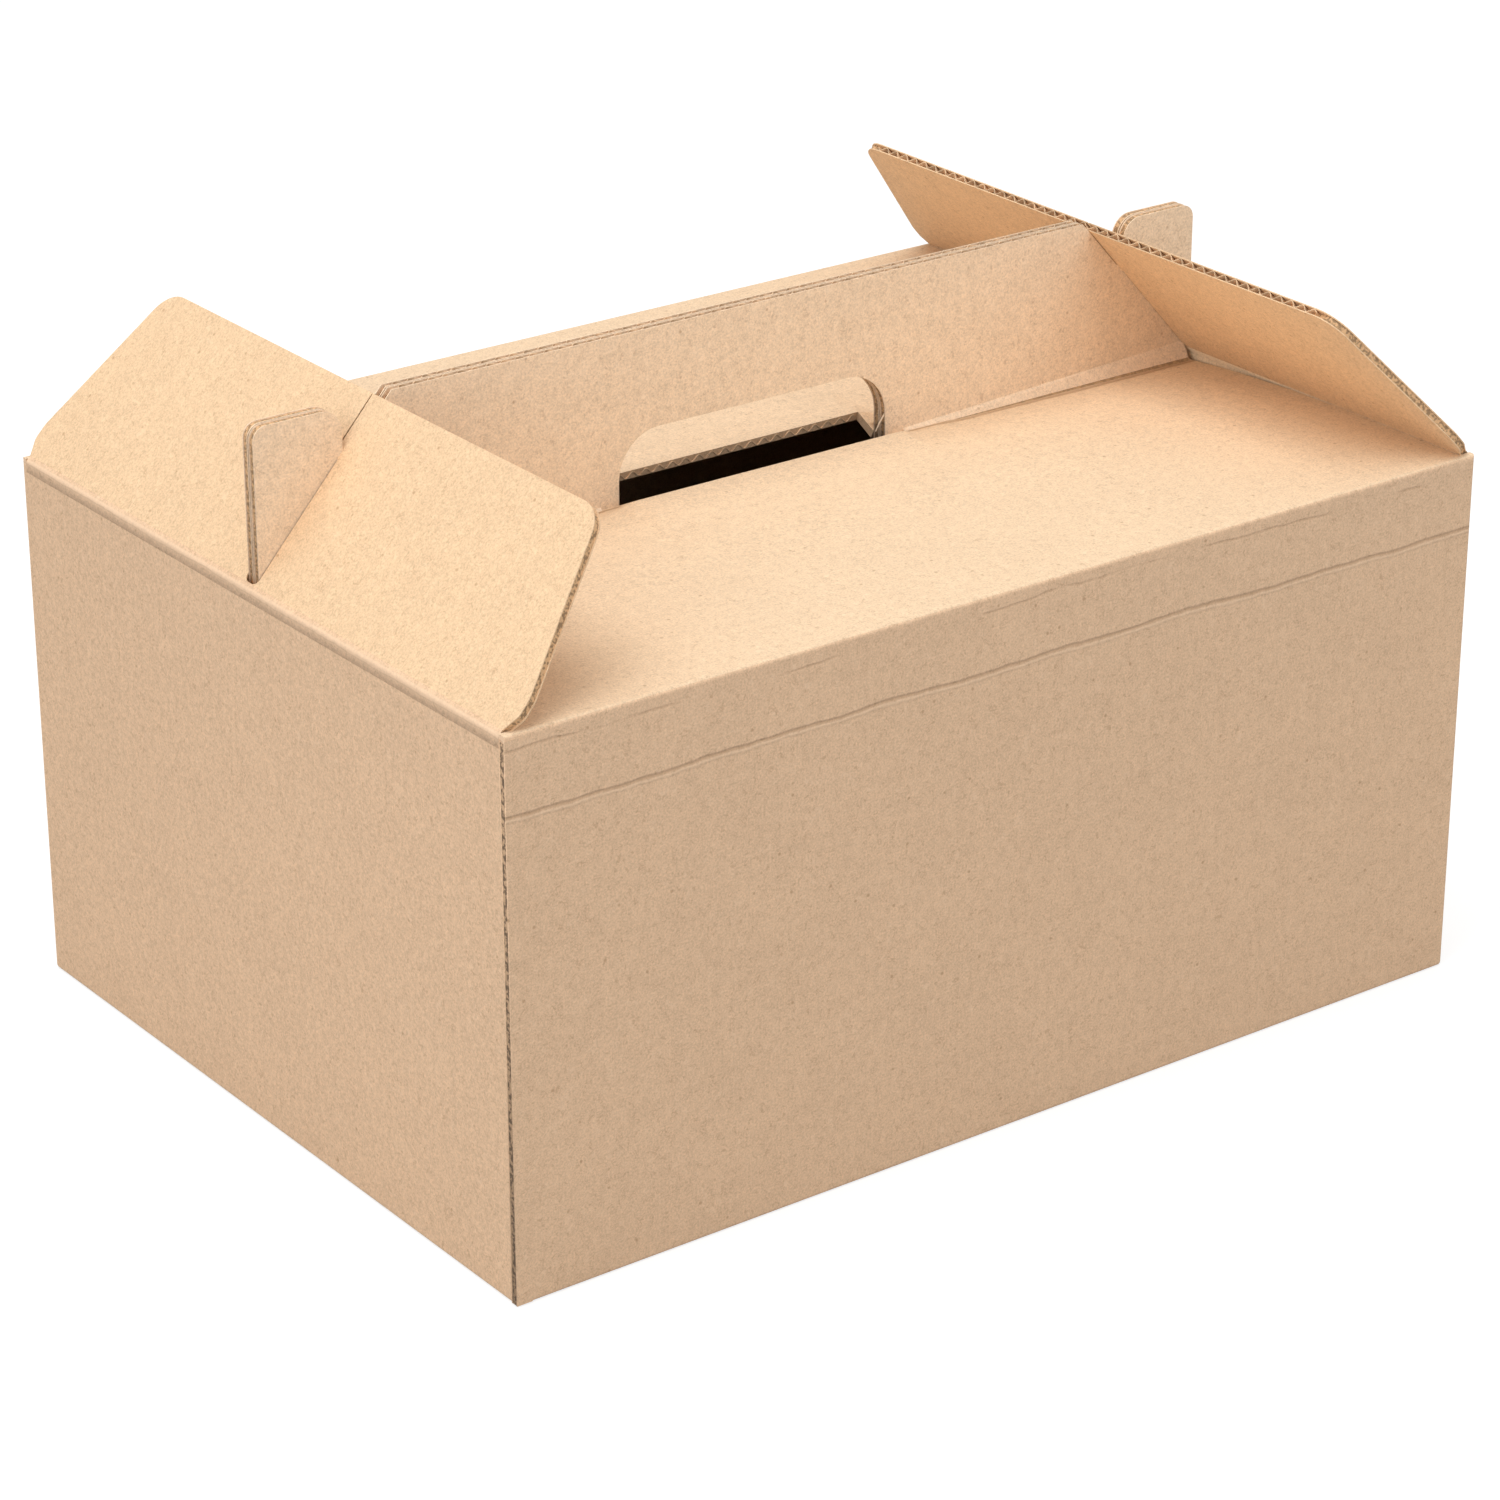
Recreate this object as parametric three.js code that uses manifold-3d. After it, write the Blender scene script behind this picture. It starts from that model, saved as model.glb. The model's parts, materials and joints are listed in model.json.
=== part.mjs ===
// Corrugated cardboard lunch box with a folded carry handle.
// Millimetres. +X runs along the handle, +Z is up, and the origin is the centre of the base on the floor.
import * as THREE from 'three';
import { mergeVertices } from 'three/addons/utils/BufferGeometryUtils.js';
import Module from 'manifold-3d';

// Driving dimensions of the box
const LENGTH = 410;
const WIDTH = 303;
const HEIGHT = 200;
const BOARD = 3;
const FOLD_RADIUS = 2.4;

// Clearances
const CREASE_GAP = 0.3;
const FLAP_CLEARANCE = 0.5;
const SLOT_CLEARANCE = 0.4;
const EAR_SWEEP_CLEARANCE = 0.8;
const LAYER_GAP = 0.6;

// Handle, two panels back to back
const HANDLE_RISE = 57;
const HANDLE_SINK = 4.5;
const SINK_START = 60;
const HAND_HOLE_LENGTH = 116;
const HAND_HOLE_RISE = 21;
const HAND_HOLE_RADIUS = 17;
const HAND_HOLE_MOUTH = 25;

// Hooked ears at the ends of the handle
const EAR_LENGTH = 33.7;
const EAR_RISE = 55;
const EAR_INNER_RADIUS = 8;
const EAR_OUTER_RADIUS = 5;

// End flaps, measured in their own plane from the crease
const FLAP_LEAN_DEG = 48;
const FLAP_HEIGHT = 76;
const FLAP_SIDE_GAP = 0.3;
const FLAP_STRAIGHT = 14;
const FLAP_TAPER_DEG = 18.5;
const FLAP_CORNER_RADIUS = 12;

// Base and the glued corner
const SEAM = 1;
const INNER_FLAP_LENGTH = 150;
const INNER_FLAP_SIDE_GAP = 1.5;
const GLUE_TAB_LENGTH = 35;
const GLUE_TAB_TAPER = 10;
const GLUE_TAB_INSET = 8;
const JOINT_GROOVE = 1.2;

const ARC_SEGMENTS = 6;
const NOSE_SEGMENTS = 24;
const REACH = 2 * (LENGTH + WIDTH + HEIGHT);

// Where the parts of the sheet meet
const lean = THREE.MathUtils.degToRad(FLAP_LEAN_DEG);
const halfLength = LENGTH / 2;
const halfWidth = WIDTH / 2;
const halfBoard = BOARD / 2;
const handleHalf = LAYER_GAP / 2 + BOARD;
const handleTop = HEIGHT + HANDLE_RISE;
const hinge = { x: halfLength - halfBoard, z: HEIGHT - halfBoard };
const wallTop = hinge.z - halfBoard - CREASE_GAP;
const handleEnd = hinge.x - halfBoard - CREASE_GAP;

// A point of the right-hand side, given along the flap from its crease and out from its middle plane
function besideFlap(along, out) {
  return new THREE.Vector2(
    hinge.x - along * Math.cos(lean) + out * Math.sin(lean),
    hinge.z + along * Math.sin(lean) + out * Math.cos(lean)
  );
}

const flapFace = halfBoard + FLAP_CLEARANCE;
const topPanelAlong = (HEIGHT + CREASE_GAP - hinge.z + halfBoard * Math.cos(lean)) / Math.sin(lean);
const topPanelEnd = besideFlap(topPanelAlong, -halfBoard).x;

const wasm = await Module();
wasm.setup();

function toSolid(geometry) {
  geometry.deleteAttribute('normal');
  geometry.deleteAttribute('uv');
  const merged = mergeVertices(geometry, 1e-4);
  return new wasm.Manifold(new wasm.Mesh({
    numProp: 3,
    vertProperties: new Float32Array(merged.attributes.position.array),
    triVerts: new Uint32Array(merged.index.array)
  }));
}

function toGeometry(solid) {
  const mesh = solid.getMesh();
  const geometry = new THREE.BufferGeometry();
  geometry.setAttribute('position', new THREE.BufferAttribute(mesh.vertProperties, 3));
  geometry.setIndex(new THREE.BufferAttribute(mesh.triVerts, 1));
  geometry.computeVertexNormals();
  return geometry;
}

function block(low, high) {
  const geometry = new THREE.BoxGeometry(high[0] - low[0], high[1] - low[1], high[2] - low[2]);
  geometry.translate((low[0] + high[0]) / 2, (low[1] + high[1]) / 2, (low[2] + high[2]) / 2);
  return toSolid(geometry);
}

// Extrudes a shape and lays its own x, y and depth along the three axes given
function extrude(shape, depth, xAxis, yAxis, depthAxis) {
  const geometry = new THREE.ExtrudeGeometry(shape, {
    depth,
    bevelEnabled: false,
    curveSegments: ARC_SEGMENTS
  });
  geometry.translate(0, 0, -depth / 2);
  geometry.applyMatrix4(new THREE.Matrix4().makeBasis(xAxis, yAxis, depthAxis));
  return toSolid(geometry);
}

const X = new THREE.Vector3(1, 0, 0);
const Y = new THREE.Vector3(0, 1, 0);
const Z = new THREE.Vector3(0, 0, 1);
const minusY = new THREE.Vector3(0, -1, 0);

function alongX(shape, depth) {
  return extrude(shape, depth, Y, Z, X);
}

function alongY(shape, depth) {
  return extrude(shape, depth, X, Z, minusY);
}

// A closed outline through its corners, each rounded by its own radius
function roundedShape(corners) {
  const shape = new THREE.Shape();
  corners.forEach(({ at, radius = 0 }, i) => {
    const before = corners[(i + corners.length - 1) % corners.length].at;
    const after = corners[(i + 1) % corners.length].at;
    const back = before.clone().sub(at).normalize();
    const ahead = after.clone().sub(at).normalize();
    const halfAngle = Math.acos(THREE.MathUtils.clamp(back.dot(ahead), -1, 1)) / 2;
    const setback = radius / Math.tan(halfAngle);
    const start = at.clone().addScaledVector(back, setback);
    if (i === 0) {
      shape.moveTo(start.x, start.y);
    } else {
      shape.lineTo(start.x, start.y);
    }
    if (radius > 0) {
      const middle = back.clone().add(ahead).normalize().multiplyScalar(radius / Math.sin(halfAngle)).add(at);
      const end = at.clone().addScaledVector(ahead, setback);
      const from = Math.atan2(start.y - middle.y, start.x - middle.x);
      const to = Math.atan2(end.y - middle.y, end.x - middle.x);
      shape.absarc(middle.x, middle.y, radius, from, to, back.cross(ahead) > 0);
    }
  });
  shape.closePath();
  return shape;
}

function corner(x, y, radius = 0) {
  return { at: new THREE.Vector2(x, y), radius };
}

// The section of a folded strip of board along its middle line, with round outer folds
function foldedStrip(path) {
  const sides = [1, -1].map((side) => path.map((point, i) => {
    const before = path[Math.max(i - 1, 0)];
    const after = path[Math.min(i + 1, path.length - 1)];
    const inward = point.clone().sub(before);
    const outward = after.clone().sub(point);
    const first = (i === 0 ? outward : inward).normalize();
    const second = (i === path.length - 1 ? first.clone() : outward).normalize();
    const normal = new THREE.Vector2(-first.y - second.y, first.x + second.x).normalize();
    const reach = halfBoard / normal.dot(new THREE.Vector2(-first.y, first.x));
    const outside = first.cross(second) * side < -0.5;
    return { at: point.clone().addScaledVector(normal, reach * side), radius: outside ? FOLD_RADIUS : 0 };
  }));
  return roundedShape([...sides[1], ...sides[0].reverse()]);
}

// Half of the sheet's section: base flap, wall, top panel and handle panel
function halfSheet() {
  const wall = -halfWidth + halfBoard;
  const handle = -LAYER_GAP / 2 - halfBoard;
  const top = HEIGHT - halfBoard;
  const path = [
    [-SEAM / 2, halfBoard],
    [wall, halfBoard],
    [wall, top],
    [-SINK_START, top],
    [handle, top - HANDLE_SINK],
    [handle, handleTop]
  ];
  return alongX(foldedStrip(path.map(([y, z]) => new THREE.Vector2(y, z))), LENGTH);
}

// The outline of the handle with its slanted ends, the notches for the flaps and the hooked ears
function handleOutline() {
  const earInner = handleEnd - EAR_LENGTH;
  const notchAlong = (hinge.x - earInner + flapFace * Math.sin(lean)) / Math.cos(lean);
  const topAlong = (handleTop - hinge.z + flapFace * Math.cos(lean)) / Math.sin(lean);
  const end = besideFlap(topAlong, -flapFace);
  const notchInner = besideFlap(notchAlong, -flapFace);
  const notchOuter = besideFlap(notchAlong, flapFace);
  const earTop = HEIGHT + EAR_RISE;
  const right = [
    corner(handleEnd, 0),
    corner(handleEnd, earTop, EAR_OUTER_RADIUS),
    corner(notchOuter.x, earTop, EAR_INNER_RADIUS),
    corner(notchOuter.x, notchOuter.y),
    corner(notchInner.x, notchInner.y),
    corner(end.x, end.y)
  ];
  const left = right.map(({ at, radius }) => corner(-at.x, at.y, radius)).reverse();
  return roundedShape([...right, ...left]);
}

function handHole() {
  const half = HAND_HOLE_LENGTH / 2;
  const low = HEIGHT - HANDLE_SINK - 2 * BOARD;
  return roundedShape([
    corner(-half, low),
    corner(half, low),
    corner(half, HEIGHT + HAND_HOLE_RISE, HAND_HOLE_RADIUS),
    corner(-half, HEIGHT + HAND_HOLE_RISE, HAND_HOLE_RADIUS)
  ]);
}

// Three corners of the box are folds and the front left one is a cut edge
function planOutline() {
  return roundedShape([
    corner(-halfLength, -halfWidth),
    corner(halfLength, -halfWidth, FOLD_RADIUS),
    corner(halfLength, halfWidth, FOLD_RADIUS),
    corner(-halfLength, halfWidth, FOLD_RADIUS)
  ]);
}

function glueTab() {
  const low = 2 * BOARD + GLUE_TAB_INSET;
  const high = wallTop - GLUE_TAB_INSET;
  const root = -halfLength + halfBoard;
  const tip = -halfLength + BOARD + GLUE_TAB_LENGTH;
  const tab = alongY(roundedShape([
    corner(root, low),
    corner(tip, low + GLUE_TAB_TAPER),
    corner(tip, high - GLUE_TAB_TAPER),
    corner(root, high)
  ]), BOARD);
  return tab.translate([0, -halfWidth + BOARD + halfBoard, 0]);
}

// The groove that shows where the front wall's cut edge lies over the fold of the glue tab
function jointGroove() {
  const y = -halfWidth + BOARD;
  const groove = roundedShape([
    corner(-halfLength - JOINT_GROOVE, y - JOINT_GROOVE / 4),
    corner(-halfLength + JOINT_GROOVE, y),
    corner(-halfLength - JOINT_GROOVE, y + 2 * JOINT_GROOVE)
  ]);
  return extrude(groove, REACH, X, Y, Z);
}

function endWall(side) {
  const [near, far] = [side * halfLength, side * (halfLength - BOARD)].sort((a, b) => a - b);
  return block([near, -halfWidth, 0], [far, halfWidth, wallTop]);
}

// The base flaps of the end walls, glued down over the two long ones
function innerBaseFlap(side) {
  const half = halfWidth - BOARD - INNER_FLAP_SIDE_GAP;
  const [near, far] = [side * (halfLength - halfBoard), side * (halfLength - INNER_FLAP_LENGTH)].sort((a, b) => a - b);
  return block([near, -half, BOARD], [far, half, 2 * BOARD]);
}

function makeCarton() {
  let body = halfSheet();
  body = body.add(halfSheet().rotate([0, 0, 180]));

  const handleZone = block([-REACH, -handleHalf, HEIGHT - HANDLE_SINK], [REACH, handleHalf, REACH]);
  const outsideOutline = handleZone.subtract(alongY(handleOutline(), REACH));
  body = body.subtract(outsideOutline);
  body = body.subtract(alongY(handHole(), HAND_HOLE_MOUTH));

  for (const side of [-1, 1]) {
    const from = side * topPanelEnd;
    const [low, high] = [from, side * REACH].sort((a, b) => a - b);
    for (const face of [-1, 1]) {
      const [near, far] = [face * handleHalf, face * REACH].sort((a, b) => a - b);
      body = body.subtract(block([low, near, wallTop], [high, far, REACH]));
    }
  }
  for (const side of [-1, 1]) {
    const [low, high] = [side * handleEnd, side * REACH].sort((a, b) => a - b);
    body = body.subtract(block([low, -REACH, wallTop], [high, REACH, REACH]));
    body = body.add(endWall(side));
    body = body.add(innerBaseFlap(side));
  }
  body = body.add(glueTab());
  body = body.intersect(extrude(planOutline(), REACH, X, Y, Z));
  body = body.subtract(jointGroove());
  return body;
}

// An end flap standing upright on its crease, which lies on the origin along Y
function makeEndFlap() {
  const half = halfWidth - FLAP_SIDE_GAP;
  const taper = Math.tan(THREE.MathUtils.degToRad(FLAP_TAPER_DEG));
  const topHalf = half - taper * (FLAP_HEIGHT - FLAP_STRAIGHT);
  const outline = roundedShape([
    corner(-half, 0),
    corner(half, 0),
    corner(half, FLAP_STRAIGHT),
    corner(topHalf, FLAP_HEIGHT, FLAP_CORNER_RADIUS),
    corner(-topHalf, FLAP_HEIGHT, FLAP_CORNER_RADIUS),
    corner(-half, FLAP_STRAIGHT)
  ]);
  const earCentre = new THREE.Vector2(
    handleEnd - EAR_LENGTH + EAR_INNER_RADIUS - hinge.x,
    HEIGHT + EAR_RISE - EAR_INNER_RADIUS - hinge.z
  );
  const slotLength = earCentre.length() + EAR_INNER_RADIUS + EAR_SWEEP_CLEARANCE;
  const slotHalf = handleHalf + SLOT_CLEARANCE;
  const slab = extrude(outline, BOARD, Y, Z, X);
  const slot = block([-BOARD, -slotHalf, -BOARD], [BOARD, slotHalf, slotLength]);
  const nose = new THREE.CylinderGeometry(halfBoard, halfBoard, 2 * half, NOSE_SEGMENTS);
  return slab.subtract(slot).add(toSolid(nose));
}

const kraft = { roughness: 0.85, metalness: 0 };
const box = new THREE.Group();

const carton = new THREE.Mesh(
  toGeometry(makeCarton()),
  new THREE.MeshStandardMaterial({ color: 0xcba88c, ...kraft })
);
carton.name = 'carton';
box.add(carton);

for (const [name, side] of [['left_end_flap', -1], ['right_end_flap', 1]]) {
  const crease = new THREE.Group();
  crease.position.set(side * hinge.x, 0, hinge.z);
  crease.rotation.y = -side * (Math.PI / 2 - lean);
  const flap = new THREE.Mesh(
    toGeometry(makeEndFlap()),
    new THREE.MeshStandardMaterial({ color: 0xf0c896, ...kraft })
  );
  flap.name = name;
  crease.add(flap);
  box.add(crease);
}

export default box;
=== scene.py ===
"""A corrugated cardboard lunch box with a folded carry handle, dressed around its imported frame."""
import json
import math

import bpy
from mathutils import Matrix, Vector


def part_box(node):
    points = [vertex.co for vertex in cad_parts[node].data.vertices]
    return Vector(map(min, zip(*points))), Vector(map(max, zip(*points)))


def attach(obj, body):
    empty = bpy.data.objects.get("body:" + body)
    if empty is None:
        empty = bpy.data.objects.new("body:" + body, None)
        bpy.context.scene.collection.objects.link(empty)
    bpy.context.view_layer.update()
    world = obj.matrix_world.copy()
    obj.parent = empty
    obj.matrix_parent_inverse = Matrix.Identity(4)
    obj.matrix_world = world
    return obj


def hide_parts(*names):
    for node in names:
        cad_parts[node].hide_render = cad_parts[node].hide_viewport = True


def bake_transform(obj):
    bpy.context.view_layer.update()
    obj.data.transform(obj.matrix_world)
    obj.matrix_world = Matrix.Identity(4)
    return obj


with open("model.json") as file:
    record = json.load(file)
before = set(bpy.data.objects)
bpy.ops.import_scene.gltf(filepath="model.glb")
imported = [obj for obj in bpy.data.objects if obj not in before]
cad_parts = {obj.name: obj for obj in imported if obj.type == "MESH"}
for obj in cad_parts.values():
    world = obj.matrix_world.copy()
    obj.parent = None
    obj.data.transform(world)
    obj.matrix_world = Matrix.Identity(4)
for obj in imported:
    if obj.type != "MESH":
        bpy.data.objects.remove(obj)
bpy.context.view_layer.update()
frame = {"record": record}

# The box and its board, in metres; each crease of an end flap lies on its hinge
MM = 0.001
joints = {joint["name"]: joint for joint in frame["record"]["behaviour"]["joints"]}
hinge_pos = joints["right_flap_crease"]["pos_m"]
carton_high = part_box("carton")[1]
BOARD = 3 * MM
LINER = 0.4 * MM
CLEARANCE = 0.3 * MM
TOUCH = 0.01 * MM
NEAR = 0.1 * MM
HALF_LENGTH = carton_high[0]
HALF_WIDTH = carton_high[1]
HEIGHT = hinge_pos[2] + BOARD / 2
FOLD = 1.5 * MM
LEAN = math.radians(48)
SEAM_HALF = 0.5 * MM
BASE_FLAP_LENGTH = 150 * MM
BASE_FLAP_GAP = 0.5 * MM
BASE_FLAP_LIFT = 0.2 * MM

# The handle, its ears and the hand hole
LAYER_GAP = 0.6 * MM
HANDLE_HALF = LAYER_GAP / 2 + BOARD
HANDLE_TOP = carton_high[2]
HANDLE_SINK = 4.5 * MM
HANDLE_END = 201.7 * MM
HOLE_HALF = 58 * MM
HOLE_RISE = 21 * MM
HOLE_RADIUS = 17 * MM
HOLE_MOUTH = 12.5 * MM
EAR_INNER = 168 * MM
EAR_RISE = 55 * MM
EAR_RADII = (8 * MM, 5 * MM)

# The torn strip's outline in the front panel, in millimetres from the foot of the hand hole's right end
TORN_STRIP = ((-4.3, -2), (-3.8, -2.2), (-2.1, 0.6), (-0.1, 3.2), (-0.1, 4), (-2.4, 0.9))
TORN_HALF = 0.15 * MM

# The top panels, which sag towards the handle: each row has its distance from the box's middle line and its
# share of the sink, first where the handle ends and then beside the hand hole
TOP_PANEL_END = 199.9 * MM
END_WALL_TOP = HEIGHT - BOARD - CLEARANCE
END_OPENING_HALF = HALF_WIDTH - BOARD - 0.2 * MM
SAG_ROWS = (
    (HANDLE_HALF, 1.0, 1.0),
    (HOLE_MOUTH, 0.84, 0.0),
    (24 * MM, 0.62, 0.12),
    (40 * MM, 0.36, 0.2),
    (60 * MM, 0.13, 0.1),
)
SAG_END = 90 * MM
SAG_SPANS = ((0, HOLE_HALF + MM, 0), (HOLE_HALF + MM, 80 * MM, 0.55), (80 * MM, math.inf, 1))

# The slope at the foot of each handle panel, which grows from its start, and the strip of painted shade
# along the fold below it
BAND_START = 66 * MM
BAND_END = TOP_PANEL_END - MM
BAND_FOOT = 4.5 * MM
BAND_RISE = 7 * MM
BAND_SET_BACK = BAND_FOOT * 0.92
BAND_START_FOOT = 0.4
BAND_START_DROP = 0.85
BAND_OVERLAP = 0.1 * MM
SHADE_FOOT = BAND_FOOT + 0.5 * MM
SHADE_RISE = 1.3 * MM
SHADE_SET_BACK = 0.8 * MM

# The end flaps and the creases that carry them
FLAP_HEIGHT = 76 * MM
FLAP_HALF = HALF_WIDTH - CLEARANCE
FLAP_STRAIGHT = 14 * MM
FLAP_TAPER = math.tan(math.radians(18.5))
FLAP_TOP_HALF = FLAP_HALF - FLAP_TAPER * (FLAP_HEIGHT - FLAP_STRAIGHT)
FLAP_RADIUS = 12 * MM
FLAP_EDGE_HALF = FLAP_TOP_HALF - FLAP_RADIUS * 0.7
FLAP_ROOT_HALF = FLAP_HALF - 3 * MM
FLAP_ROOT_RISE = 2 * MM
FLAP_ROOT_TOP = 8 * MM
FLAP_ROOT_RADIUS = 4 * MM
SLOT_HALF = HANDLE_HALF + 0.4 * MM
SLOT_START = 1.9 * MM
SLOT_END = 51 * MM
SLOT_RADIUS = 2.5 * MM
SLIT_HALF = 0.35 * MM
CREASE_PROUD = 0.04 * MM
CREASE_REACH = 3.5 * MM
CREASE_SKIN = 0.2 * MM
CREASE_STEPS = 10

# The cut edges: the core stops short of the liners, and waved paper shows between them
FLUTE_PITCH = 5.8 * MM
FLUTE_DEPTH = 2 * MM
FLUTE_CLEARANCE = 0.12 * MM
FLUTE_PAPER = 0.25 * MM
FLUTE_STEPS = 8
CORE_INSET = 0.4 * MM
ARC_STEPS = 8

# The front wall's cut edge over the glued corner
JOINT_DEPTH = 6 * MM
JOINT_TOP = HEIGHT - FOLD - 0.5 * MM
JOINT_PLACE = (-HALF_LENGTH - 0.25 * MM, -HALF_WIDTH + BOARD / 2 - 0.1 * MM, 0.5 * MM)
JOINT_CORE_INSET = 0.08 * MM

# How far the walls' pressed and worn lines lie below their top edge, the ridge below the lower pressed
# line, and the line at the handle's foot from the slope; each line wanders a little
SCORE_DROP = 27 * MM
SECOND_SCORE_DROP = 5.5 * MM
SCORE_WANDER = 6 * MM
RIDGE_DROP = 1.3 * MM
WORN_DROP = 0.8 * MM
WORN_WANDER = 4 * MM
WRINKLE_DROP = 2 * MM
WRINKLE_WANDER = 5 * MM
FOOT_LINE_GAP = 1.1 * MM
FOOT_LINE_WANDER = 4 * MM
PAPER_RELIEF = 0.35 * MM


def clean_selection():
    if bpy.context.object and bpy.context.object.mode != "OBJECT":
        bpy.ops.object.mode_set(mode="OBJECT")
    bpy.ops.object.select_all(action="DESELECT")


def activate(piece):
    clean_selection()
    piece.select_set(True)
    bpy.context.view_layer.objects.active = piece


def face_outwards():
    """Turns every face of the mesh in edit mode outwards."""
    bpy.ops.mesh.select_all(action="SELECT")
    bpy.ops.mesh.normals_make_consistent(inside=False)
    bpy.ops.object.mode_set(mode="OBJECT")


def place(piece, matrix):
    """Lays a piece where it belongs and leaves its object at the origin."""
    activate(piece)
    piece.matrix_world = matrix @ piece.matrix_world
    bpy.ops.object.transform_apply(location=True, rotation=True, scale=True)
    bpy.ops.object.mode_set(mode="EDIT")
    face_outwards()


def join(name, pieces):
    activate(pieces[0])
    for piece in pieces[1:]:
        piece.select_set(True)
    bpy.ops.object.join()
    pieces[0].name = name
    return pieces[0]


def apply_modifiers(piece):
    activate(piece)
    for modifier in list(piece.modifiers):
        bpy.ops.object.modifier_apply(modifier=modifier.name)


def pick(piece, kind, test):
    """Selects the vertices, edges or faces that the test picks, and stays in edit mode."""
    bpy.ops.object.mode_set(mode="EDIT")
    bpy.ops.mesh.select_mode(type=kind)
    bpy.ops.mesh.select_all(action="DESELECT")
    bpy.ops.object.mode_set(mode="OBJECT")
    mesh = piece.data
    for element in {"VERT": mesh.vertices, "EDGE": mesh.edges, "FACE": mesh.polygons}[kind]:
        element.select = test(element)
    bpy.ops.object.mode_set(mode="EDIT")


def shift_vertices(piece, test, shift):
    """Moves the vertices whose places pass the test."""
    pick(piece, "VERT", lambda vertex: test(vertex.co))
    bpy.ops.transform.translate(value=shift)
    bpy.ops.object.mode_set(mode="OBJECT")


def new_cube(size, centre):
    """A box of that size, still in edit mode."""
    bpy.ops.mesh.primitive_cube_add(size=1)
    bpy.ops.object.mode_set(mode="EDIT")
    bpy.ops.transform.resize(value=size)
    bpy.ops.transform.translate(value=centre)
    return bpy.context.object


def slice_at(axis, position):
    """Adds a loop of edges across the whole mesh."""
    bpy.ops.mesh.select_all(action="SELECT")
    at = [0, 0, 0]
    at[axis] = position
    normal = [0, 0, 0]
    normal[axis] = 1
    bpy.ops.mesh.bisect(plane_co=at, plane_no=normal)


def rounded(corners):
    """The points of a closed outline whose corners (x, y, radius) are rounded."""
    points = []
    for i, (x, y, radius) in enumerate(corners):
        at = Vector((x, y))
        if radius == 0:
            points.append(at)
            continue
        back = (Vector(corners[i - 1][:2]) - at).normalized()
        ahead = (Vector(corners[(i + 1) % len(corners)][:2]) - at).normalized()
        half = back.angle(ahead) / 2
        middle = at + (back + ahead).normalized() * radius / math.sin(half)
        start = at + back * radius / math.tan(half) - middle
        end = at + ahead * radius / math.tan(half) - middle
        turn = start.angle_signed(end)
        for step in range(ARC_STEPS + 1):
            angle = -turn * step / ARC_STEPS
            points.append(middle + Matrix.Rotation(angle, 2) @ start)
    return points


def mirrored(right):
    """The corners of a right half, followed by the same corners on the left."""
    return right + [(-x, y, radius) for x, y, radius in reversed(right)]


def shrunk(points, inset):
    """The outline moved inwards; its points run anticlockwise."""
    moved = []
    for i, at in enumerate(points):
        back = (at - points[i - 1]).normalized()
        ahead = (points[(i + 1) % len(points)] - at).normalized()
        normal = Vector((-back.y - ahead.y, back.x + ahead.x)).normalized()
        reach = inset / max(normal.dot(Vector((-back.y, back.x))), 0.5)
        moved.append(at + normal * reach)
    return moved


def cutout(name, outline, low, high, material):
    """A flat sheet of that outline between two heights."""
    data = bpy.data.curves.new(name, "CURVE")
    data.dimensions = "2D"
    data.fill_mode = "BOTH"
    data.extrude = (high - low) / 2
    spline = data.splines.new("POLY")
    spline.points.add(len(outline) - 1)
    for point, (x, y) in zip(spline.points, outline):
        point.co = (x, y, 0, 1)
    spline.use_cyclic_u = True
    sheet = bpy.data.objects.new(name, data)
    bpy.context.collection.objects.link(sheet)
    activate(sheet)
    bpy.ops.object.convert(target="MESH")
    sheet = bpy.context.object
    sheet.data.materials.clear()
    sheet.data.materials.append(material)
    place(sheet, Matrix.Translation((0, 0, (low + high) / 2)))
    return sheet


def board(name, outline, core_top, liner, middle, inset=CORE_INSET):
    """Board lying flat: two liners, and between them the core, which stops short of the edge."""
    core_line = [Vector((p.x, min(p.y, core_top))) for p in shrunk(outline, inset)]
    half = BOARD / 2
    return join(name, [
        cutout(name, outline, half - LINER, half, liner),
        cutout(name + "_core", core_line, LINER - half, half - LINER, middle),
        cutout(name + "_lining", outline, -half, LINER - half, liner),
    ])


def make_wave(pitch):
    """One wave of paper: it runs along +X, rises and falls in Z and reaches back along -Y."""
    stride = pitch / FLUTE_STEPS
    amplitude = BOARD / 2 - LINER - FLUTE_CLEARANCE

    def height(step):
        return amplitude * math.sin(2 * math.pi * step / FLUTE_STEPS)

    bpy.ops.mesh.primitive_plane_add(size=1)
    wave = bpy.context.object
    bpy.ops.object.mode_set(mode="EDIT")
    bpy.ops.transform.resize(value=(stride, FLUTE_DEPTH, 1))
    bpy.ops.transform.translate(value=(stride / 2, -FLUTE_DEPTH / 2, 0))
    pick(wave, "EDGE", lambda edge: all(wave.data.vertices[v].co.x > stride / 2 for v in edge.vertices))
    bpy.ops.transform.translate(value=(0, 0, height(1)))
    for step in range(1, FLUTE_STEPS):
        climb = {"value": (stride, 0, height(step + 1) - height(step))}
        bpy.ops.mesh.extrude_region_move(TRANSFORM_OT_translate=climb)
    bpy.ops.object.mode_set(mode="OBJECT")
    return wave


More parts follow.
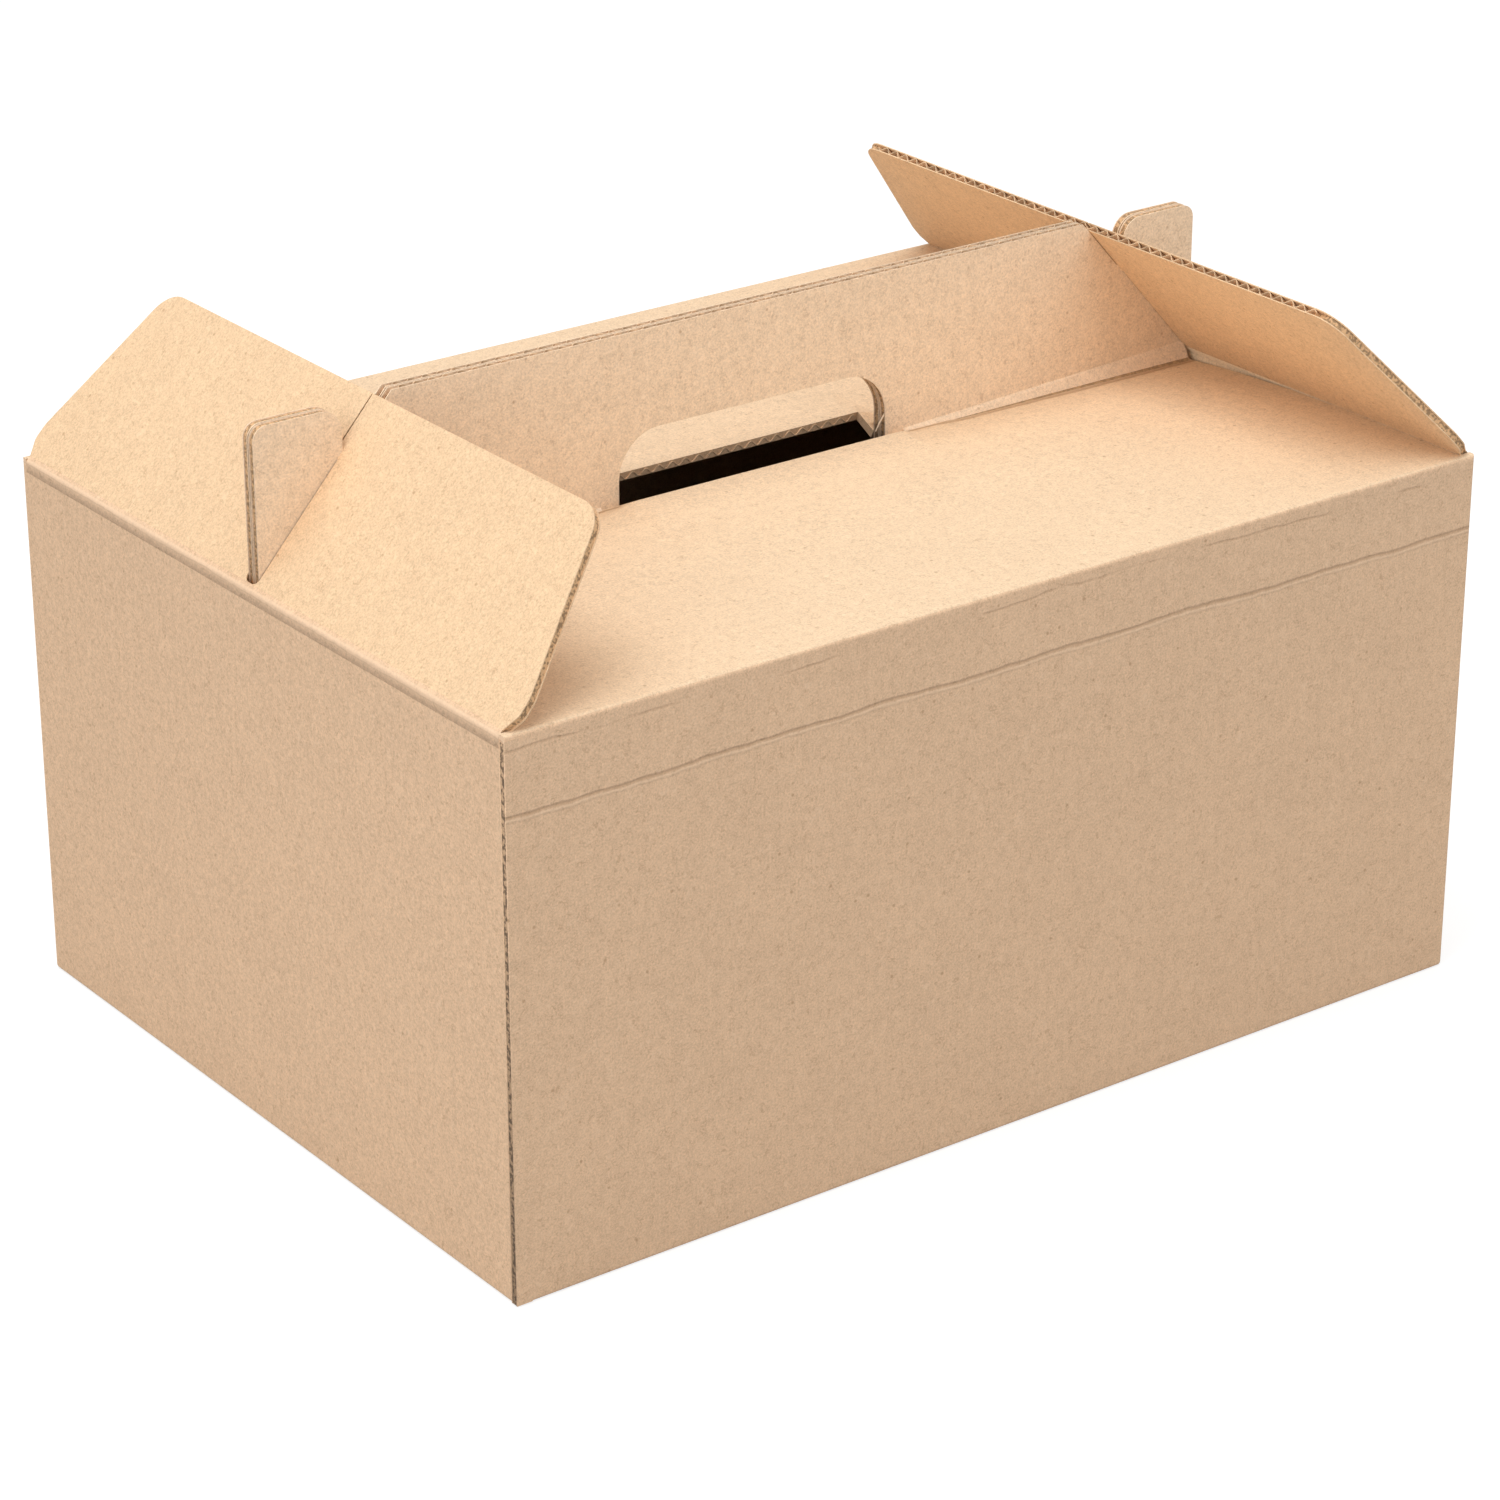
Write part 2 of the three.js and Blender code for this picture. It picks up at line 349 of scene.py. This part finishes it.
def fluting(name, length, matrix):
    """The waved paper that shows in a cut edge of that length, as a row of whole waves."""
    count = max(round(length / FLUTE_PITCH), 1)
    pitch = length / count
    strip = make_wave(pitch)
    row = strip.modifiers.new("row", "ARRAY")
    row.count = count
    row.use_relative_offset = False
    row.use_constant_offset = True
    row.constant_offset_displace = (pitch, 0, 0)
    row.use_merge_vertices = True
    row.merge_threshold = 2 * TOUCH
    paper = strip.modifiers.new("paper", "SOLIDIFY")
    paper.thickness = FLUTE_PAPER
    paper.offset = 0
    apply_modifiers(strip)
    strip.name = name
    strip.data.materials.append(flute_paper)
    place(strip, matrix)
    return strip


class Value:
    """A shader socket that Python arithmetic adds nodes to."""

    def __init__(self, shader, socket):
        self.shader = shader
        self.socket = socket

    def math(self, operation, *others):
        values = dict(enumerate((self, *others)))
        return self.shader.node("ShaderNodeMath", {"operation": operation}, values)

    def __add__(self, other):
        return self.math("ADD", other)

    def __sub__(self, other):
        return self.math("SUBTRACT", other)

    def __rsub__(self, other):
        return self.shader.node("ShaderNodeMath", {"operation": "SUBTRACT"}, {0: other, 1: self})

    def __mul__(self, other):
        return self.math("MULTIPLY", other)

    __radd__ = __add__
    __rmul__ = __mul__

    def step(self, low, high):
        """Rises smoothly from 0 to 1 between two values."""
        values = {"Value": self, "From Min": low, "From Max": high}
        return self.shader.node("ShaderNodeMapRange", {"interpolation_type": "SMOOTHSTEP"}, values)

    def line(self, low, high):
        """1 where this distance is near 0, fading out between two widths in millimetres."""
        return 1 - self.math("ABSOLUTE").step(low * MM, high * MM)


class Shader:
    """The nodes of a material or of the world."""

    def __init__(self, owner):
        self.owner = owner
        owner.use_nodes = True
        self.tree = owner.node_tree
        self.tree.nodes.clear()

    def node(self, kind, settings=None, values=None, output=0):
        node = self.tree.nodes.new(kind)
        for key, value in (settings or {}).items():
            setattr(node, key, value)
        for key, value in (values or {}).items():
            if isinstance(value, Value):
                self.tree.links.new(value.socket, node.inputs[key])
            else:
                node.inputs[key].default_value = value
        return Value(self, node.outputs[output])

    def split(self, vector):
        """The X, Y and Z of a vector."""
        parts = self.node("ShaderNodeSeparateXYZ", values={0: vector}).socket.node.outputs
        return [Value(self, part) for part in parts]

    def noise(self, at, scale, detail, **more):
        values = {"Vector": at, "Scale": scale, "Detail": detail, **more}
        return self.node("ShaderNodeTexNoise", values=values)

    def mix(self, fac, first, second, blend="MIX"):
        """Mixes two colours, which this node takes at its inputs 6 and 7 and gives at its output 2."""
        settings = {"data_type": "RGBA", "blend_type": blend}
        first = first if isinstance(first, Value) else (*first, 1)
        second = second if isinstance(second, Value) else (*second, 1)
        return self.node("ShaderNodeMix", settings, {0: fac, 6: first, 7: second}, output=2)

    def finish(self, surface, kind="ShaderNodeOutputMaterial"):
        out = self.tree.nodes.new(kind)
        self.tree.links.new(surface.socket, out.inputs["Surface"])
        return self.owner


def tinted(colour, gains):
    return tuple(min(c * gain, 1) for c, gain in zip(colour, gains))


def darker(colour):
    return tinted(colour, (0.55, 0.45, 0.38))


def lighter(colour):
    return tinted(colour, (1.16, 1.22, 1.3))


def fibres(s, here):
    """Where dark and pale fibres wind through the paper, in tufts."""
    tufts = s.noise(here, 420.0, 1.0)
    strands = []
    for scale, shift in ((230.0, 0.0), (300.0, 3.1)):
        moved = s.node("ShaderNodeMapping", values={"Vector": here, "Location": (shift, shift, shift)})
        strand = (s.noise(moved, scale, 1.0, Distortion=1.4) - 0.5).math("ABSOLUTE")
        strands.append(1 - strand.step(0.004, 0.032))
    pale = strands[0] * tufts.step(0.46, 0.56)
    dark = strands[1] * (1 - tufts.step(0.44, 0.54))
    return dark, pale


def flecks(s, here):
    """Where small dark and pale flecks lie in the paper."""
    cell = s.node("ShaderNodeTexVoronoi", values={"Vector": here, "Scale": 190.0})
    cell_colour = Value(s, cell.socket.node.outputs["Color"])
    lot = s.node("ShaderNodeSeparateColor", values={0: cell_colour})
    dark = (1 - cell.step(0.06, 0.16)) * lot.step(0.8, 0.82)
    pale = (1 - cell.step(0.05, 0.15)) * (1 - lot.step(0.12, 0.14))
    return dark, pale


def wall_lines(y, z, end_wall, cloud, bend):
    """The front wall's pressed lines, which get painted shade, with a ridge below the lower one, which gets
    a painted highlight, and the end walls' worn fold.
    """
    on_front = 1 - y.step(-HALF_WIDTH + MM, -HALF_WIDTH + 2 * MM)
    from_score = z - (HEIGHT - SCORE_DROP) + bend * SCORE_WANDER
    from_second = z - HEIGHT + SECOND_SCORE_DROP + bend * SCORE_WANDER
    second = from_second.line(0.1, 0.8) * cloud.step(0.42, 0.54)
    shaded_groove = (from_score.line(0.1, 1.0) + second * 0.6) * on_front
    ridge = (from_score + RIDGE_DROP).line(0.1, 1.0) * on_front
    worn = (z - HEIGHT + WORN_DROP + bend * WORN_WANDER).line(0.6, 2.4) * end_wall
    wrinkle = (z - HEIGHT + WRINKLE_DROP + bend * WRINKLE_WANDER).line(0.05, 0.4) * end_wall
    return shaded_groove, ridge, worn, wrinkle


def handle_foot_line(x, y, bend):
    """Where the pressed line in the top panels runs along the foot of the handle, on both sides of the hand
    hole; the material darkens it with painted shade.
    """
    away = x.math("ABSOLUTE")
    growth = (1 - BAND_START_FOOT) * BAND_FOOT / (TOP_PANEL_END - BAND_START)
    foot = (away - BAND_START) * growth
    start = HANDLE_HALF + BAND_START_FOOT * BAND_FOOT + FOOT_LINE_GAP
    from_line = y.math("ABSOLUTE") - foot - start + bend * FOOT_LINE_WANDER
    return 1.7 * from_line.line(0.5, 1.9) * away.step(HOLE_HALF, HOLE_HALF + 3 * MM)


def plain_paper(s, here, colour, cloud, flutes):
    """The colour of plain kraft paper, with fibres, flecks and cloudy tone, and its surface's height."""
    patch = s.noise(here, 210.0, 3.0, Roughness=0.6)
    grain = s.noise(here, 1300.0, 3.0, Roughness=0.7)
    dark_fibre, pale_fibre = fibres(s, here)
    dark_fleck, pale_fleck = flecks(s, here)
    tone = (cloud - 0.5) * 0.1 + (patch - 0.5) * 0.2 + (grain - 0.5) * 0.85 + flutes * 0.006 + 1.0
    shade = s.node("ShaderNodeCombineColor", values={0: tone, 1: tone, 2: tone})
    base = s.mix(1.0, colour, shade, "MULTIPLY")
    base = s.mix(pale_fibre * 0.42, base, lighter(colour))
    base = s.mix(dark_fibre * 0.34, base, darker(colour))
    base = s.mix(pale_fleck * 0.5, base, lighter(colour))
    base = s.mix(dark_fleck * 0.55, base, darker(colour))
    height = flutes * 0.05 + patch * 0.24 + grain * 0.24 + pale_fibre * 0.14
    return base, height


def kraft(name, colour, bands, lines=None):
    """Kraft liner: plain paper with the flutes showing through as soft bands, and pressed lines.

    The bands follow each other along "x" or "y", or on "walls" along whichever of them the wall follows.
    The lines are those of the "walls" or of the "top"; painted shade darkens the pressed lines, and a
    painted highlight lightens the ridge below the front wall's lower pressed line.
    """
    s = Shader(bpy.data.materials.new(name))
    here = s.node("ShaderNodeTexCoord", output="Object")
    x, y, z = s.split(here)
    if bands == "walls":
        facing = s.node("ShaderNodeTexCoord", output="Normal")
        end_wall = s.split(facing)[0].math("ABSOLUTE").step(0.5, 0.7)
        across = x * (1 - end_wall) + y * end_wall
    else:
        across = {"x": x, "y": y}[bands]
    flutes = (across * (2 * math.pi / FLUTE_PITCH) + s.noise(here, 14.0, 2.0) * 2.2).math("SINE")
    cloud = s.noise(here, 38.0, 3.0)
    bend = s.noise(here, 22.0, 4.0, Roughness=0.6) - 0.5
    base, height = plain_paper(s, here, colour, cloud, flutes)
    if lines == "walls":
        shaded_groove, ridge, worn, wrinkle = wall_lines(y, z, end_wall, cloud, bend)
        # the ridge's pale line is a painted highlight; the worn band is paler paper at the fold
        base = s.mix(ridge * 0.35 + worn * 0.55, base, lighter(colour))
        base = s.mix(wrinkle * 0.2, base, darker(colour))
        height = height + ridge * 1.2
    if lines == "top":
        shaded_groove = handle_foot_line(x, y, bend)
    # each pressed line is pressed in and darkened with painted shade
    if lines:
        base = s.mix(shaded_groove * 0.38, base, darker(colour))
        height = height - shaded_groove * 2.4
    bump = s.node("ShaderNodeBump", values={"Height": height, "Strength": 0.55, "Distance": PAPER_RELIEF})
    values = {"Base Color": base, "Roughness": 0.82, "Normal": bump, "Specular IOR Level": 0.25}
    return s.finish(s.node("ShaderNodeBsdfPrincipled", values=values))


def cut_paper(name, colour, scale, depth):
    """A mottled paper colour with darker spots: the bare paper inside the board and in its cuts, and also
    the painted shade of the core's flute hollows and of the strip along the handle's fold.
    """
    s = Shader(bpy.data.materials.new(name))
    here = s.node("ShaderNodeTexCoord", output="Object")
    dark = tinted(colour, (depth, depth, depth))
    base = s.mix(s.noise(here, scale, 2.0).step(0.42, 0.58), dark, colour)
    return s.finish(s.node("ShaderNodeBsdfPrincipled", values={"Base Color": base, "Roughness": 0.95}))


# The top and the handle are the same board as the walls; their lighter tints of the walls' kraft are
# painted light.
wall_kraft = kraft("wall_kraft", (0.78, 0.535, 0.345), "walls", lines="walls")
top_kraft_painted_light = kraft("top_kraft_painted_light", (0.81, 0.6, 0.4), "x", lines="top")
handle_kraft_painted_light = kraft("handle_kraft_painted_light", (0.86, 0.66, 0.47), "x")
flap_kraft = kraft("flap_kraft", (0.8, 0.56, 0.345), "y")
crease_kraft = kraft("crease_kraft", (0.84, 0.62, 0.4), "y")
lining = kraft("lining", (0.55, 0.37, 0.23), "x")
# The core is the board's bare paper; its darker brown and dark spots are painted shade of the flute hollows
# in the cut edges.
core = cut_paper("board_core", (0.72, 0.45, 0.24), 900.0, 0.45)
joint_core = cut_paper("joint_core", (0.5, 0.33, 0.2), 600.0, 0.3)
# fold_shade: the flat dark colour of the painted shade strip at the handle's foot
fold_shade = cut_paper("fold_shade", (0.5, 0.32, 0.17), 700.0, 0.7)
flute_paper = cut_paper("fluting_paper", (0.84, 0.59, 0.37), 300.0, 0.7)


def make_folded_box():
    """A closed box with its folds rounded, apart from the end walls' tops and the glued corner."""
    box = new_cube((2 * HALF_LENGTH, 2 * HALF_WIDTH, HEIGHT), (0, 0, HEIGHT / 2))

    def folded(edge):
        a, b = (box.data.vertices[v].co for v in edge.vertices)
        middle = (a + b) / 2
        upright = abs(a.z - b.z) > HEIGHT / 2
        glued_corner = upright and middle.x < 0 and middle.y < 0
        end_top = abs(a.x - b.x) < MM and middle.z > HEIGHT / 2 and not upright
        return not glued_corner and not end_top

    pick(box, "EDGE", folded)
    bpy.ops.mesh.bevel(offset=FOLD, segments=4, profile=0.5, clamp_overlap=True)
    return box


def open_top(sleeve):
    """Cuts the end openings, the slit for the handle, the hand hole's mouth and the seam in the base."""
    along = (HOLE_HALF, BAND_START, SAG_END, TOP_PANEL_END)
    for position in sorted((*along, *(-x for x in along))):
        slice_at(0, position)
    for position in (SEAM_HALF, *(row[0] for row in SAG_ROWS), SAG_END, END_OPENING_HALF):
        slice_at(1, position)
        slice_at(1, -position)
    slice_at(2, END_WALL_TOP)

    def cut_away(face):
        centre = face.center
        away_x, away_y = abs(centre.x), abs(centre.y)
        at_end = centre.z > END_WALL_TOP + TOUCH and away_x > TOP_PANEL_END and away_y < END_OPENING_HALF
        in_slit = away_y < HANDLE_HALF
        in_hole = away_x < HOLE_HALF and away_y < HOLE_MOUTH
        in_top = centre.z > HEIGHT - TOUCH and (in_slit or in_hole)
        in_seam = centre.z < TOUCH and away_y < SEAM_HALF
        return at_end or in_top or in_seam

    pick(sleeve, "FACE", cut_away)
    bpy.ops.mesh.delete(type="FACE")


def in_sag_row(distance, low, high):
    """A test for the places in one row of the top, between two distances from the box's middle."""
    def test(co):
        in_row = abs(abs(co.y) - distance) < NEAR
        return co.z > HEIGHT - MM and in_row and low <= abs(co.x) < high
    return test


def sag_top(sleeve):
    """Lowers the top panels row by row towards the handle."""
    for distance, at_end, beside_hole in SAG_ROWS:
        for low, high, blend in SAG_SPANS:
            drop = at_end * blend + beside_hole * (1 - blend)
            shift_vertices(sleeve, in_sag_row(distance, low, high), (0, 0, -drop * HANDLE_SINK))


def make_sleeve():
    """Walls, base and top panels: one folded skin with the board's thickness."""
    sleeve = make_folded_box()
    open_top(sleeve)
    sag_top(sleeve)
    bpy.ops.object.mode_set(mode="EDIT")
    face_outwards()
    sleeve.name = "folded_sleeve"
    paints = [wall_kraft, core, top_kraft_painted_light, lining]
    for paint in paints:
        sleeve.data.materials.append(paint)
    for face in sleeve.data.polygons:
        face.material_index = paints.index(top_kraft_painted_light if face.normal.z > 0.7 else wall_kraft)
    thick = sleeve.modifiers.new("board", "SOLIDIFY")
    thick.thickness = BOARD
    thick.offset = -1
    thick.use_even_offset = True
    thick.material_offset_rim = paints.index(core)
    thick.material_offset = paints.index(lining)
    apply_modifiers(sleeve)
    for face in sleeve.data.polygons:
        face.use_smooth = False
    return sleeve


def make_base_flaps():
    """The two short base flaps, which lie on the long ones inside the box."""
    flaps = []
    half = HALF_WIDTH - BOARD - BASE_FLAP_GAP
    for name, side in (("left_base_flap", -1), ("right_base_flap", 1)):
        start = side * (HALF_LENGTH - BOARD - CLEARANCE)
        stop = start - side * BASE_FLAP_LENGTH
        low, high = min(start, stop), max(start, stop)
        outline = [Vector(p) for p in ((low, -half), (high, -half), (high, half), (low, half))]
        flap = board(name, outline, half, lining, core)
        place(flap, Matrix.Translation((0, 0, BOARD * 1.5 + BASE_FLAP_LIFT)))
        flaps.append(flap)
    return flaps


def handle_outline():
    """One handle panel from its crease up, in X and Z, anticlockwise."""
    def beside_flap(along, out):
        return (
            hinge_pos[0] - along * math.cos(LEAN) + out * math.sin(LEAN),
            hinge_pos[2] + along * math.sin(LEAN) + out * math.cos(LEAN),
        )

    clear = BOARD / 2 + CLEARANCE
    notch = (hinge_pos[0] - EAR_INNER + clear * math.sin(LEAN)) / math.cos(LEAN)
    top = (HANDLE_TOP - hinge_pos[2] + clear * math.cos(LEAN)) / math.sin(LEAN)
    bottom = HEIGHT - HANDLE_SINK - BOARD
    right = [
        (HANDLE_END, bottom, 0),
        (HANDLE_END, HEIGHT + EAR_RISE, EAR_RADII[1]),
        (EAR_INNER, HEIGHT + EAR_RISE, EAR_RADII[0]),
        (*beside_flap(notch, clear), 0),
        (*beside_flap(notch, -clear), 0),
        (beside_flap(top, -clear)[0], HANDLE_TOP, 0),
    ]
    hole = [
        (-HOLE_HALF, bottom, 0),
        (-HOLE_HALF, HEIGHT + HOLE_RISE, HOLE_RADIUS),
        (HOLE_HALF, HEIGHT + HOLE_RISE, HOLE_RADIUS),
        (HOLE_HALF, bottom, 0),
    ]
    return rounded(mirrored(right) + hole)


def make_handle():
    """Two panels back to back, with the waved paper showing along the top edge."""
    pieces = []
    outline = handle_outline()
    edge_half = hinge_pos[0] - (HANDLE_TOP - hinge_pos[2]) / math.tan(LEAN) - BOARD
    for name, side in (("front_handle_panel", -1), ("back_handle_panel", 1)):
        panel = board(name, outline, HANDLE_TOP - FLUTE_DEPTH, handle_kraft_painted_light, core)
        middle = side * (LAYER_GAP + BOARD) / 2
        stand = Matrix.Translation((0, middle, 0)) @ Matrix.Rotation(math.pi / 2, 4, "X")
        place(panel, stand)
        edge_start = Matrix.Translation((-edge_half, HANDLE_TOP, 0))
        edge = fluting(name + "_edge", 2 * edge_half, stand @ edge_start)
        pieces += [panel, edge]
    return pieces


def make_hole_edges():
    """The waved paper in the cut edges of the top panels at the hand hole."""
    edges = []
    half = HOLE_HALF - MM
    for name, side in (("front_hole_edge", -1), ("back_hole_edge", 1)):
        turn = Matrix.Rotation(0 if side < 0 else math.pi, 4, "Z")
        lie = Matrix.Translation((0, side * HOLE_MOUTH, HEIGHT - BOARD / 2)) @ turn
        edge_start = Matrix.Translation((-half, CLEARANCE, 0))
        edges.append(fluting(name, 2 * half, lie @ edge_start))
    return edges


def make_torn_strip():
    """The sliver of liner that hangs torn at the right end of the hand hole, in the front panel."""
    outline = [Vector((x * MM, z * MM)) for x, z in TORN_STRIP]
    strip = cutout("torn_liner_strip", outline, -TORN_HALF, TORN_HALF, handle_kraft_painted_light)
    stand = Matrix.Translation((HOLE_HALF, -HANDLE_HALF + LINER, HEIGHT))
    place(strip, stand @ Matrix.Rotation(math.pi / 2, 4, "X"))
    return strip


def flap_outline():
    """An end flap in its own plane, in Y and the distance from the crease, anticlockwise."""
    return rounded(mirrored([
        (FLAP_ROOT_HALF, 0, 0),
        (FLAP_ROOT_HALF, FLAP_ROOT_RISE, 0),
        (FLAP_HALF, FLAP_ROOT_TOP, FLAP_ROOT_RADIUS),
        (FLAP_HALF - CLEARANCE, FLAP_STRAIGHT, FLAP_RADIUS),
        (FLAP_TOP_HALF, FLAP_HEIGHT, FLAP_RADIUS),
        (SLIT_HALF, FLAP_HEIGHT, 0),
        (SLIT_HALF, SLOT_END + SLOT_HALF, 0),
        (SLOT_HALF, SLOT_END, 0),
        (SLOT_HALF, SLOT_START, SLOT_RADIUS),
    ]))


def make_flap(name, side):
    """An end flap leaning in over the top, with its waved top edge."""
    flap = board(name, flap_outline(), FLAP_HEIGHT - FLUTE_DEPTH, flap_kraft, core)
    upright = Matrix(((0, 0, side, 0), (side, 0, 0, 0), (0, 1, 0, 0), (0, 0, 0, 1)))
    lean_in = Matrix.Rotation(-side * (math.pi / 2 - LEAN), 4, "Y")
    crease = Matrix.Translation((side * hinge_pos[0], 0, hinge_pos[2])) @ lean_in @ upright
    place(flap, crease)
    waves = []
    for part, start in (("near", -FLAP_EDGE_HALF), ("far", SLIT_HALF)):
        edge_start = Matrix.Translation((start, FLAP_HEIGHT, 0))
        waves.append(fluting(name + "_edge_" + part, FLAP_EDGE_HALF - SLIT_HALF, crease @ edge_start))
    return join(name, [flap, *waves])


def skin_outline(line):
    """A line given the crease skin's thickness, on its left."""
    back = []
    for i, p in enumerate(line):
        ahead = line[min(i + 1, len(line) - 1)] - line[max(i - 1, 0)]
        back.append(p + Vector((-ahead.y, ahead.x)).normalized() * CREASE_SKIN)
    return line + back[::-1]


def make_crease(name, side):
    """The fold between an end wall and its flap: thin skins that follow both, outside and inside."""
    arc = BOARD / 2 + CREASE_PROUD
    outside = [Vector((arc, -CREASE_REACH))]
    for step in range(CREASE_STEPS + 1):
        angle = (math.pi / 2 - LEAN) * step / CREASE_STEPS
        outside.append(Vector((arc * math.cos(angle), arc * math.sin(angle))))
    along = Vector((-math.cos(LEAN), math.sin(LEAN)))
    outside.append(outside[-1] + along * CREASE_REACH * 0.5)
    foot = Vector((-math.sin(LEAN), -math.cos(LEAN))) * arc
    inside = [foot + along * CREASE_REACH, foot, Vector((-arc, -arc)), Vector((-arc, -2 * CREASE_REACH))]
    skins = []
    for line, material in ((outside, wall_kraft), (inside, crease_kraft)):
        skins.append(cutout(name, skin_outline(line), -FLAP_ROOT_HALF, FLAP_ROOT_HALF, material))
    fold = join(name, skins)
    stand = Matrix(((side, 0, 0, side * hinge_pos[0]), (0, 0, 1, 0), (0, 1, 0, hinge_pos[2]), (0, 0, 0, 1)))
    place(fold, stand)
    return fold


def make_crease_band(side, end, foot, rise, set_back, material):
    """A slim slope at the foot of a handle panel, from beside the hand hole to the panel's end."""
    size = (BAND_END - BAND_START, foot, rise)
    band = new_cube(size, ((BAND_START + BAND_END) / 2, foot / 2, rise / 2))
    shift_vertices(band, lambda co: co.z > rise / 2 and co.y > foot / 2, (0, -set_back, 0))
    lowered = (0, 0, -rise * BAND_START_DROP)
    shift_vertices(band, lambda co: co.x < BAND_START + MM and co.z > rise / 2, lowered)
    narrowed = (0, -foot * (1 - BAND_START_FOOT), 0)
    shift_vertices(band, lambda co: co.x < BAND_START + MM and co.y > foot / 2, narrowed)
    band.data.materials.append(material)
    crease = Matrix.Translation((0, side * (HANDLE_HALF - BAND_OVERLAP), HEIGHT - HANDLE_SINK))
    place(band, crease @ Matrix.Diagonal((end, side, 1, 1)))
    return band


def make_crease_bands():
    """The second score at the foot of each handle panel, with a strip of painted shade along the fold below
    it.
    """
    bands = []
    for side in (-1, 1):
        for end in (-1, 1):
            bands.append(make_crease_band(side, end, BAND_FOOT, BAND_RISE, BAND_SET_BACK, handle_kraft_painted_light))
            # a thin dark wedge in fold_shade: painted shade along the fold at the handle's foot
            bands.append(make_crease_band(side, end, SHADE_FOOT, SHADE_RISE, SHADE_SET_BACK, fold_shade))
    return join("handle_crease_bands", bands)


def make_joint_edge():
    """The front wall's cut edge, which lies over the glued corner."""
    corners = ((0, 0), (JOINT_DEPTH, 0), (JOINT_DEPTH, JOINT_TOP), (0, JOINT_TOP))
    outline = [Vector(corner) for corner in corners]
    edge = board("glued_corner_edge", outline, JOINT_TOP - MM, wall_kraft, joint_core, JOINT_CORE_INSET)
    place(edge, Matrix.Translation(JOINT_PLACE) @ Matrix.Rotation(math.pi / 2, 4, "X"))
    return edge


sleeve = make_sleeve()
carton_pieces = [
    sleeve,
    *make_handle(),
    *make_hole_edges(),
    make_torn_strip(),
    make_crease_bands(),
    make_joint_edge(),
    *make_base_flaps(),
]
for piece in carton_pieces:
    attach(piece, "carton")
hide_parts("carton")

for flap_name, crease_name, flap_side in (
    ("left_end_flap", "left_crease_fold", -1),
    ("right_end_flap", "right_crease_fold", 1),
):
    flap_piece = make_flap(flap_name + "_board", flap_side)
    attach(flap_piece, flap_name)
    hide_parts(flap_name)
    fold = make_crease(crease_name, flap_side)
    axis_point = Vector((flap_side * hinge_pos[0], 0, hinge_pos[2]))
    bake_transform(fold)


# The studio: a pale floor, a white backdrop, three soft lamps and the camera
WHITE = (1, 1, 1, 1)
FLOOR_GREY = (0.4, 0.4, 0.4, 1)
FLOOR_SIZE = 12
CAMERA_PLACE = (-0.9219, -1.2401, 0.7768)
CAMERA_AZIMUTH = math.radians(-36.64)
CAMERA_ELEVATION = math.radians(24.06)
CAMERA_LENS = 112.7
SENSOR_WIDTH = 36


def background_share(s):
    """1 for rays that should see a white background: camera, mirror and see-through rays."""
    path = s.node("ShaderNodeLightPath")
    outputs = path.socket.node.outputs
    seen = Value(s, outputs["Is Camera Ray"]) + Value(s, outputs["Is Glossy Ray"])
    return (seen + Value(s, outputs["Is Transmission Ray"])).math("MINIMUM", 1.0)


def floor_material():
    s = Shader(bpy.data.materials.new("pale_floor"))
    paper = s.node("ShaderNodeBsdfDiffuse", values={"Color": FLOOR_GREY})
    glow = s.node("ShaderNodeEmission", values={"Color": WHITE, "Strength": 0.7})
    white = s.node("ShaderNodeAddShader", values={0: glow, 1: paper})
    return s.finish(s.node("ShaderNodeMixShader", values={0: background_share(s), 1: paper, 2: white}))


def make_floor():
    bpy.ops.mesh.primitive_plane_add(size=FLOOR_SIZE, location=(0, 0, 0))
    sheet = bpy.context.object
    sheet.name = "floor"
    sheet.data.materials.append(floor_material())
    return sheet


def light_world():
    """Soft light from all sides, with a white backdrop for the camera."""
    world = bpy.context.scene.world or bpy.data.worlds.new("studio")
    bpy.context.scene.world = world
    sky = Shader(world)
    ambient = sky.node("ShaderNodeBackground", values={"Color": WHITE, "Strength": 0.62})
    backdrop = sky.node("ShaderNodeBackground", values={"Color": WHITE, "Strength": 1.0})
    both = sky.node("ShaderNodeMixShader", values={0: background_share(sky), 1: ambient, 2: backdrop})
    sky.finish(both, "ShaderNodeOutputWorld")


def softbox(name, location, size, power):
    """A square lamp that faces the middle of the box."""
    data = bpy.data.lights.new(name, "AREA")
    data.size = size
    data.energy = power
    lamp = bpy.data.objects.new(name, data)
    lamp.location = location
    aim = Vector((0, 0, HEIGHT / 2)) - Vector(location)
    lamp.rotation_euler = aim.to_track_quat("-Z", "Y").to_euler()
    bpy.context.collection.objects.link(lamp)


def set_camera():
    """The camera stands off the left front corner and looks down on the box."""
    behind = Vector((
        math.sin(CAMERA_AZIMUTH) * math.cos(CAMERA_ELEVATION),
        -math.cos(CAMERA_AZIMUTH) * math.cos(CAMERA_ELEVATION),
        math.sin(CAMERA_ELEVATION),
    ))
    data = bpy.data.cameras.new("camera")
    data.lens = CAMERA_LENS
    data.sensor_width = SENSOR_WIDTH
    camera = bpy.data.objects.new("camera", data)
    camera.location = CAMERA_PLACE
    camera.rotation_euler = behind.to_track_quat("Z", "Y").to_euler()
    bpy.context.collection.objects.link(camera)
    bpy.context.scene.camera = camera


floor = make_floor()
light_world()
softbox("overhead_softbox", (-0.4, 0.1, 2.2), 1.6, 24)
softbox("left_softbox", (-2.2, -0.6, 0.9), 1.4, 14)
softbox("front_softbox", (0.5, -2.2, 1.2), 1.4, 10)
set_camera()
bpy.context.scene.view_settings.view_transform = "Standard"
